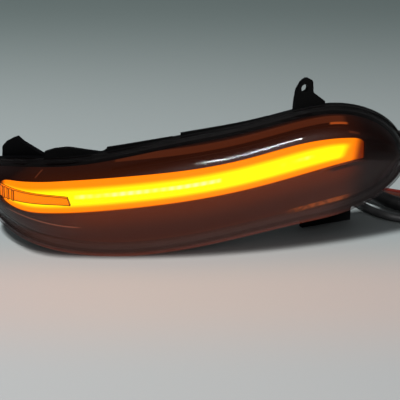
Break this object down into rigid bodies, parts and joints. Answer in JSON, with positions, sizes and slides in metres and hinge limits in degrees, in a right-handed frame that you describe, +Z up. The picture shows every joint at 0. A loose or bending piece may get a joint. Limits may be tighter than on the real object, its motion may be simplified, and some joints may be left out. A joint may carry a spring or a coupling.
{
  "type": "mirror turn signal lamp",
  "caption": "Long curved indicator lamp for a door mirror: smoked lens over a lit amber bar, black rear housing with a fixing ear, clip feet and a wired connector.",
  "frame": {"origin": "middle of the lamp's footprint, on the surface it rests on, without its leads", "axes": "+X along the lamp towards the end with the ear and leads, +Y from the lens towards the housing's back, +Z up as it rests"},
  "size_m": [0.2982, 0.1053, 0.0817],
  "materials": {
    "smoked_lens": "smoked polycarbonate, glossy",
    "glue": "black glue bead",
    "housing_black": "moulded black plastic, fine grain",
    "bezel_brown": "dark reddish brown gloss",
    "amber_bar": "milky amber, lit",
    "clear_amber": "clear prism, amber by the light behind it",
    "tray_white": "white reflector",
    "board_white": "white solder mask",
    "chip_yellow": "phosphor yellow",
    "screw_zinc": "zinc plated",
    "board_green": "green solder mask",
    "part_black": "moulded epoxy",
    "can_silver": "bare can",
    "vent_grey": "dark grey rubber",
    "rubber_black": "black rubber",
    "sleeve_black": "black sleeve, satin",
    "lead_grey": "dark grey jacket",
    "wire_red": "red insulation",
    "wire_brown": "brown insulation",
    "seal_orange": "silicone",
    "plug_black": "moulded nylon",
    "pin_tin": "tin plated brass"
  },
  "bodies": {
    "root": {"outer_lens": "smoked_lens", "lens_seal": "glue", "rear_housing": "housing_black", "inner_bezel": "bezel_brown", "diffuser_bar": "amber_bar", "side_prism": "clear_amber", "reflector_tray": "tray_white", "light_board": "board_white", "light_chips": "chip_yellow", "tray_screws": "screw_zinc", "driver_board": "board_green", "driver_chip": "part_black", "smoothing_capacitor": "can_silver", "polarity_diode": "part_black", "resistors": "part_black", "vent_plug": "vent_grey", "cable_grommet": "rubber_black", "sleeved_lead": "sleeve_black", "grey_lead": "lead_grey", "red_wire": "wire_red", "brown_wire": "wire_brown", "plug_seal": "seal_orange", "plug_body": "plug_black", "plug_latch": "plug_black", "plug_pins": "pin_tin"}
  },
  "joints": []
}
